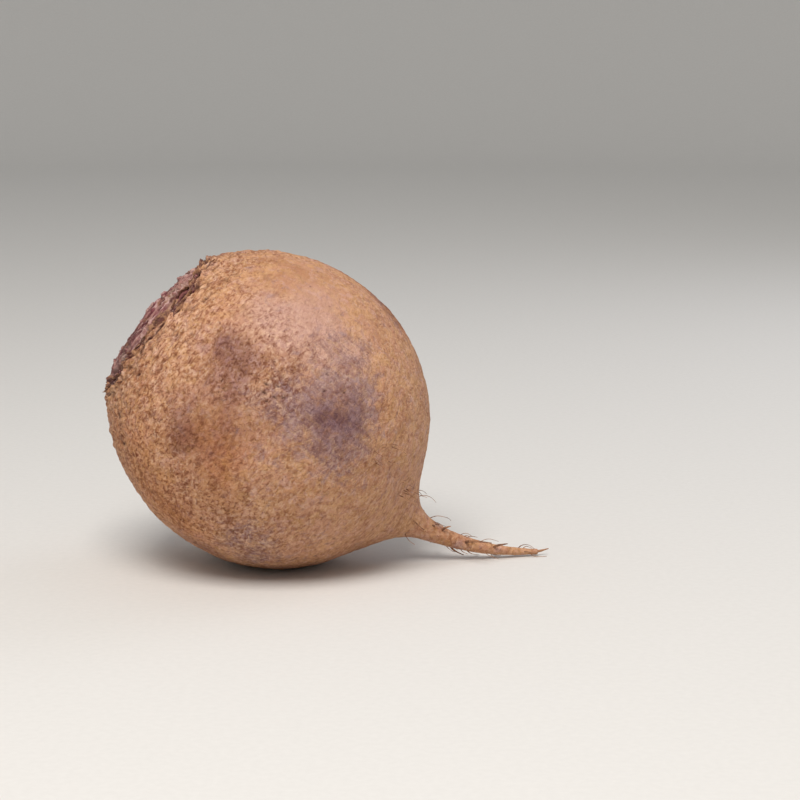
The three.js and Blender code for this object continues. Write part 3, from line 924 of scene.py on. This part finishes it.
def crown_relief(across, over):
    """Height over the dome and the fields of the cut crown, at places in the crown's own plane."""
    flat = np.stack([across, over, np.zeros_like(across)], axis=1)
    bend_x = layered(flat, BEND_ACROSS)
    bend_y = layered(flat, BEND_OVER)
    height = -HOLLOW_DEPTH + 0.45 * lumps(flat, 1.7, 8.0) + 0.15 * lumps(flat, 0.6, 9.0)
    fields = {name: np.zeros(len(across)) for name in ("face", "edge", "bundle", "groove", "tint")}
    nearest = np.full(len(across), -9.0)
    for index, (seat, turn, width, thickness, rise) in enumerate(leaf_stubs()):
        width *= STUB_LAP
        thickness *= STUB_LAP
        x = over * math.cos(turn) - across * math.sin(turn) + bend_x
        y = across * math.cos(turn) + over * math.sin(turn) - seat + bend_y
        y = y + x * x / (2.0 * max(seat, 3.2)) + 0.05 * thickness
        half = 0.5 * thickness * np.clip(1 - np.abs(2 * x / width) ** 2.6, 0, 1) ** 0.6
        inside = np.minimum(half - np.abs(y), width / 2 - np.abs(x))
        grown = smooth_step(inside, -0.1, 0.35)
        slant = rise * (1 - 1.1 * y / thickness)
        dish = DISH_DEPTH * smooth_step(inside, 0.3, 1.0)
        grain = np.stack([x / 5.5, y, flat[:, 2] + index], axis=1)
        strands = lumps(grain, 1.0, index) + 0.5 * lumps(grain, 0.45, index + 3.0)
        own = -HOLLOW_DEPTH + (HOLLOW_DEPTH + slant - dish - STRAND_DEPTH * strands) * grown
        step = width / (BUNDLES_ACROSS + 1)
        along = x / step - np.round(x / step)
        spot = np.hypot(along * step, y + 0.08 * thickness) / (0.1 * thickness + 0.12)
        spot = np.exp(-(spot**2)) * smooth_step(inside, 0.3, 0.6)
        own += BUNDLE_HEIGHT * spot
        on_top = (own > height) & (inside > -0.1)
        own_fields = {
            "face": grown,
            "groove": strands * grown,
            "tint": noise.noise((index * 1.7, 4.3, 0.5)) + 0.5,
            "edge": bell(inside - EDGE_INSET, EDGE_WIDTH),
            "bundle": spot,
        }
        for name, value in own_fields.items():
            fields[name] = np.where(on_top, value, fields[name])
        height = np.where(on_top, own, height)
        nearest = np.maximum(nearest, inside)
    ragged = sum(np.exp(-(((across - x) ** 2 + (over - y) ** 2) / r**2)) for x, y, r in RAGGED_SPOTS)
    height += ragged * layered(flat, RAGGED_LAYERS)
    # Painted shade in the gaps between the stubs, darkest deep in them.
    fields["gap"] = (1 - smooth_step(nearest, -0.5, 0.05)) * GAP_SHADE
    fields["low"] = smooth_step(-over, -5, 9)
    fields["ragged"] = np.clip(ragged, 0, 1)
    return height, fields


def crown_piece(material):
    radii = np.arange(CROWN_GAP, CROWN_EDGE + CROWN_GAP / 2, CROWN_GAP)
    counts = [round_count(radius, CROWN_POINTS_ROUND, CROWN_HALVED_BELOW) for radius in radii]
    angle = turns_of(counts)
    radius = np.repeat(radii, counts)
    across = radius * np.cos(angle)
    over = radius * np.sin(angle)
    height, fields = crown_relief(across, over)
    at_rim = smooth_step(radius, CROWN_RADIUS - 2.5, CROWN_RADIUS + 0.6)
    height = mix(height, np.minimum(height, 0.1), at_rim)
    height -= CROWN_LOWERED + CROWN_EDGE_DROP * smooth_step(radius, CROWN_RADIUS + 0.3, CROWN_EDGE)
    dome = np.where(radius < CROWN_RADIUS, CROWN_DOME * (radius / CROWN_RADIUS) ** 2, globe_depth(radius))
    points = place(angle, radius, dome - height)
    fields["bark"] = 0.7 * smooth_step(radius, CROWN_RADIUS - 3, CROWN_RADIUS + 1) * fields["face"]

    poles = [point_at(0, 0, -height[0]), point_at(0, 0, dome[-1] + CROWN_SKIRT)]
    skirt_rows = [(CROWN_EDGE, CROWN_SKIRT * 0.5), (CROWN_EDGE * 0.9, CROWN_SKIRT)]
    skirts = []
    ring = turns_of(counts[-1:])
    for wide, low in skirt_rows:
        skirts.append(place(ring, np.full(len(ring), wide), np.full(len(ring), dome[-1] + low)))
    all_points = np.concatenate([poles[:1], points, *skirts, poles[1:]])
    extra = len(all_points) - len(points) - 1
    fields = {name: np.concatenate([[v[0]], v, np.zeros(extra)]) for name, v in fields.items()}
    faces = rings_to_faces([1, *counts, counts[-1], counts[-1], 1])
    return make_piece("cut_crown", all_points, faces, fields, material)


# Torn bark at the rim

SHRED_COUNT = 110
SHRED_LENGTH = (1.6, 6.5)
SHRED_HEIGHT = (0.4, 1.35)
SHRED_THICKNESS = 0.42
SHRED_SUNK = 0.9
SHRED_SETBACK = (-1.4, 1.0)
SHRED_LEAN = (-25, 60)
SHRED_CURL = (-0.5, 0.9)
SHRED_SKEW = (-0.9, 0.9)
SHOULDER_SLOPE = 0.45
SHRED_SEED = 23
SHRED_STEPS = 18
SHRED_SIDES = 10


def shred(draws, index):
    """One torn strip of bark along the rim: a thin curled blade with a ragged top edge."""
    turn = (index + draws.next()) * 2 * math.pi / SHRED_COUNT
    length = draws.between(*SHRED_LENGTH)
    torn_to = max(rim_border(np.array([turn]))[0], 0)
    past_rim = torn_to + draws.between(*SHRED_SETBACK) * max(1, 0.5 * torn_to)
    depth = CROWN_DOME + max(past_rim, 0) * SHOULDER_SLOPE
    height = draws.between(*SHRED_HEIGHT)
    lean = math.radians(draws.between(*SHRED_LEAN))
    curl = draws.between(*SHRED_CURL) * height
    skew = draws.between(*SHRED_SKEW)
    phase = np.arange(SHRED_SIDES) * 2 * math.pi / SHRED_SIDES
    rise = (1 - np.cos(phase)) / 2
    rings = []
    for share in np.linspace(0.02, 0.98, SHRED_STEPS):
        own_depth = depth + skew * (share - 0.5)
        radius = globe_radius(own_depth)
        angle = turn + (share - 0.5) * length / radius
        base = point_at(angle, radius, own_depth)
        outward = (base - point_at(angle, 0, own_depth)) / radius
        up = math.cos(lean) * (0.75 * outward - 0.66 * AXIS) - math.sin(lean) * AXIS * 0.8
        across = np.cross(up, np.cross(outward, AXIS))
        across /= np.linalg.norm(across)
        ragged = 0.62 + 0.75 * noise.noise((share * length / 1.1, index * 3.7, 0.0))
        ragged += 0.35 * noise.noise((share * length / 0.4, index * 3.7, 5.0))
        reach = height * max(ragged, 0.1) * math.sin(math.pi * share) ** 0.6 + SHRED_SUNK
        wave = 0.35 * noise.noise((share * length / 1.7, index * 3.7, 9.0))
        lift = np.outer(reach * rise - SHRED_SUNK, up)
        side = curl * rise**2 + wave * rise + 0.5 * SHRED_THICKNESS * np.sin(phase) * (1.1 - 0.6 * rise)
        rings.append(base + lift + np.outer(side, across))
    poles = [rings[0].mean(axis=0), rings[-1].mean(axis=0)]
    return np.concatenate([poles[:1], *rings, poles[1:]]), [1, *[SHRED_SIDES] * SHRED_STEPS, 1]


def torn_bark_piece(material):
    draws = Draws(SHRED_SEED)
    return joined_piece("torn_bark", [shred(draws, index) for index in range(SHRED_COUNT)], material)


# The rootlets

ROOTLET_TIP_RADIUS = 0.14
ROOTLET_CROOK = 1.1
ROOTLET_SIDES = 10

# The fine hairs, in the furrows and then down the tail: the depths between which they grow, and how far
# round the root they stray from the middle of their row, in radians.
HAIR_SEED = 31
FURROW_HAIRS = 26
TAIL_HAIRS = 34
FURROW_HAIR_DEPTHS = (66, 96)
TAIL_HAIR_DEPTHS = (96, TAIL_END - 2)
FURROW_HAIR_SPREAD = 0.25
TAIL_HAIR_SPREAD = 3
HAIR_LENGTH = (2.0, 7.5)
HAIR_LIFT = (0.1, 0.6)
HAIR_RADIUS = (0.1, 0.2)
HAIR_TIP_RADIUS = 0.06
HAIR_CROOK = 0.9
HAIR_SUNK = 0.3
HAIR_SIDES = 6

# The thread that the tail's tip ends in.
TIP_THREAD = 3.4
TIP_THREAD_RADIUS = 0.8 * TAIL_TIP_RADIUS
TIP_THREAD_END = 0.15
TIP_THREAD_CROOK = 0.4


def rootlet_lines():
    """The centrelines of the side rootlets, from the root's middle."""
    draws = Draws(ROOTLET_SEED)
    lines = []
    for index in range(ROOTLET_COUNT):
        depth = mix(ROOTLET_TOP, ROOTLET_BOTTOM, (index + draws.next()) / ROOTLET_COUNT)
        middle, ahead, side, over = frame_at(depth)
        angle = FURROW_ANGLE + (index % 2) * math.pi + ROOTLET_SPREAD * draws.between(-0.5, 0.5)
        outward = side * math.cos(angle) + over * math.sin(angle)
        length = draws.between(*ROOTLET_LENGTH)
        bend = middle + outward * 0.6 * length + ahead * draws.between(-0.1, 0.3) * length
        end = middle + outward * 0.7 * length + ahead * draws.between(0.1, 0.8) * length
        bend[2] = max(bend[2], ROOTLET_LEAST_HEIGHT)
        end[2] = max(end[2], ROOTLET_LEAST_HEIGHT)
        lines.append(bezier([middle, bend, end], np.linspace(0, 1, 40)))
    return lines


def tube(line, radii, sides, seed, crook):
    """A thin crooked tapered tube, as its points and the counts of its rings."""
    shares = np.linspace(0, 1, len(line))
    wander = [lumps(line, 3.2, seed), lumps(line, 3.2, seed + 9), 0.5 * lumps(line, 3.2, seed + 17)]
    crooked = line + crook * shares[:, None] * np.stack(wander, axis=1)
    radii = mix(radii[0], radii[1], shares**0.7) * (1 + 0.2 * lumps(line, 1.1, seed + 31))
    crooked[:, 2] = np.maximum(crooked[:, 2], radii + 0.05)
    ahead = np.gradient(crooked, axis=0)
    ahead /= np.linalg.norm(ahead, axis=1)[:, None]
    side = np.cross(ahead, [0.0, 0.0, 1.0])
    side /= np.linalg.norm(side, axis=1)[:, None]
    over = np.cross(side, ahead)
    turn = np.arange(sides) * 2 * math.pi / sides
    rings = [
        crooked[i] + radii[i] * (np.outer(np.cos(turn), side[i]) + np.outer(np.sin(turn), over[i]))
        for i in range(len(line))
    ]
    return np.concatenate([crooked[:1], *rings, crooked[-1:]]), [1, *[sides] * len(line), 1]


def hair_line(depth, angle, length, lift):
    """A fine hair that leaves the surface and lies back along the root."""
    base = point_at(angle, np.interp(depth, *OUTLINE) - HAIR_SUNK, depth)
    middle, ahead, _, _ = frame_at(depth)
    outward = (base - middle) / np.linalg.norm(base - middle)
    bend = base + length * (0.45 * outward + 0.3 * ahead)
    end = base + length * (lift * outward + 0.85 * ahead)
    return bezier([base, bend, end], np.linspace(0, 1, 16))


def joined_piece(name, bodies, material):
    """One mesh of several closed bodies made of rings."""
    faces = []
    offset = 0
    for points, counts in bodies:
        faces += rings_to_faces(counts, offset)
        offset += len(points)
    return make_piece(name, np.concatenate([points for points, _ in bodies]), faces, {}, material)


def hairs():
    """The fine hairs, each a crooked tube, first those of the furrows and then those of the tail."""
    draws = Draws(HAIR_SEED)
    bodies = []
    for index in range(FURROW_HAIRS + TAIL_HAIRS):
        in_furrow = index < FURROW_HAIRS
        depth = draws.between(*(FURROW_HAIR_DEPTHS if in_furrow else TAIL_HAIR_DEPTHS))
        spread = FURROW_HAIR_SPREAD if in_furrow else TAIL_HAIR_SPREAD
        angle = FURROW_ANGLE + (index % 2) * math.pi + draws.between(-0.5, 0.5) * spread
        length = draws.between(*HAIR_LENGTH)
        line = hair_line(depth, angle, length, draws.between(*HAIR_LIFT))
        radii = (draws.between(*HAIR_RADIUS), HAIR_TIP_RADIUS)
        bodies.append(tube(line, radii, HAIR_SIDES, 80.0 + index, HAIR_CROOK))
    return bodies


def tip_thread():
    """The thread at the tail's tip, which starts inside it."""
    tip, ahead, _, over = frame_at(TAIL_END)
    bends = [tip - ahead * 2, tip + ahead, tip + ahead * TIP_THREAD + over * 0.8]
    line = bezier(bends, np.linspace(0, 1, 24))
    return tube(line, (TIP_THREAD_RADIUS, TIP_THREAD_END), ROOTLET_SIDES, 150.0, TIP_THREAD_CROOK)


def rootlet_piece(material):
    radii = (ROOTLET_RADIUS, ROOTLET_TIP_RADIUS)
    bodies = [
        tube(line, radii, ROOTLET_SIDES, 40.0 + index, ROOTLET_CROOK)
        for index, line in enumerate(rootlet_lines())
    ]
    return joined_piece("side_rootlets", [*bodies, *hairs(), tip_thread()], material)


# The table, the lights and the camera

TABLE_RINGS = (120.0, 400.0, 900.0)
TABLE_RADIUS = 1700.0
TABLE_POINTS_ROUND = 96
BACKDROP_HEIGHT = 900.0
BACKDROP_CURVE = 500.0

# The soft boxes: name, place, size, watts and colour.
SOFT_BOXES = [
    ("key", (-90, -640, 1040), 620, 13.0, "#fff8f0"),
    ("edge", (620, 420, 420), 420, 1.1, "#f4f6ff"),
]
SKY_COLOUR = "#f1efec"
SKY_STRENGTH = 0.45


def add_table(material):
    """A round table top whose far edge sweeps up on all sides, so that no horizon shows."""
    turn = np.linspace(0, math.pi / 2, 13)
    profile = [(r, 0.0) for r in TABLE_RINGS]
    profile += [
        (TABLE_RADIUS + BACKDROP_CURVE * math.sin(t), BACKDROP_CURVE * (1 - math.cos(t))) for t in turn
    ]
    profile.append((TABLE_RADIUS + BACKDROP_CURVE, BACKDROP_HEIGHT))
    counts = [TABLE_POINTS_ROUND] * len(profile)
    angle = turns_of(counts[:1])
    rings = [
        np.stack([r * np.cos(angle), r * np.sin(angle), np.full(len(angle), z)], axis=1)
        for r, z in profile
    ]
    faces = rings_to_faces([1, *counts])
    points = np.concatenate([np.zeros((1, 3)), *rings])
    make_piece("table", points, [face[::-1] for face in faces], {}, material)


def soft_light(name, place_mm, size_mm, watts, colour):
    """A square soft box that faces the globe's middle."""
    light = bpy.data.lights.new(name, "AREA")
    light.shape = "SQUARE"
    light.size = size_mm * MM
    light.energy = watts
    light.color = srgb(colour)[:3]
    lamp = bpy.data.objects.new(name, light)
    lamp.location = Vector(place_mm) * MM
    lamp.rotation_euler = (Vector(GLOBE_MIDDLE) * MM - lamp.location).to_track_quat("-Z", "Y").to_euler()
    bpy.context.scene.collection.objects.link(lamp)


def add_lights():
    world = bpy.data.worlds.new("studio")
    world.use_nodes = True
    background = world.node_tree.nodes["Background"]
    background.inputs["Color"].default_value = srgb(SKY_COLOUR)
    background.inputs["Strength"].default_value = SKY_STRENGTH
    bpy.context.scene.world = world
    for box in SOFT_BOXES:
        soft_light(*box)
    bpy.context.scene.view_settings.view_transform = "Standard"


def add_camera():
    """Puts the globe's middle at its pixel of the photograph."""
    view = Vector((0, math.cos(CAMERA_DIP), -math.sin(CAMERA_DIP)))
    right = Vector((1, 0, 0))
    up = right.cross(view)
    pixels_per_mm = LENS / SENSOR * PHOTO_PIXELS / CAMERA_DISTANCE
    middle = PHOTO_PIXELS / 2
    aim = Vector(GLOBE_MIDDLE)
    aim += right * (middle - GLOBE_PIXEL[0]) / pixels_per_mm
    aim += up * (GLOBE_PIXEL[1] - middle) / pixels_per_mm
    data = bpy.data.cameras.new("photo_camera")
    data.lens = LENS
    data.sensor_width = SENSOR
    data.clip_end = 20
    camera = bpy.data.objects.new("photo_camera", data)
    camera.location = (aim - view * CAMERA_DISTANCE) * MM
    camera.rotation_euler = view.to_track_quat("-Z", "Y").to_euler()
    bpy.context.scene.collection.objects.link(camera)
    bpy.context.scene.camera = camera


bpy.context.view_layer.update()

add_camera()
add_lights()
add_table(pale_table())

skin_finish = dry_cork_skin()
pieces = [
    skin_piece(skin_finish),
    crown_piece(cut_crown_tissue()),
    torn_bark_piece(torn_dry_bark()),
    rootlet_piece(dry_rootlet()),
]
for piece in pieces:
    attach(piece, "root")
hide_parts("beetroot")

bpy.context.view_layer.update()
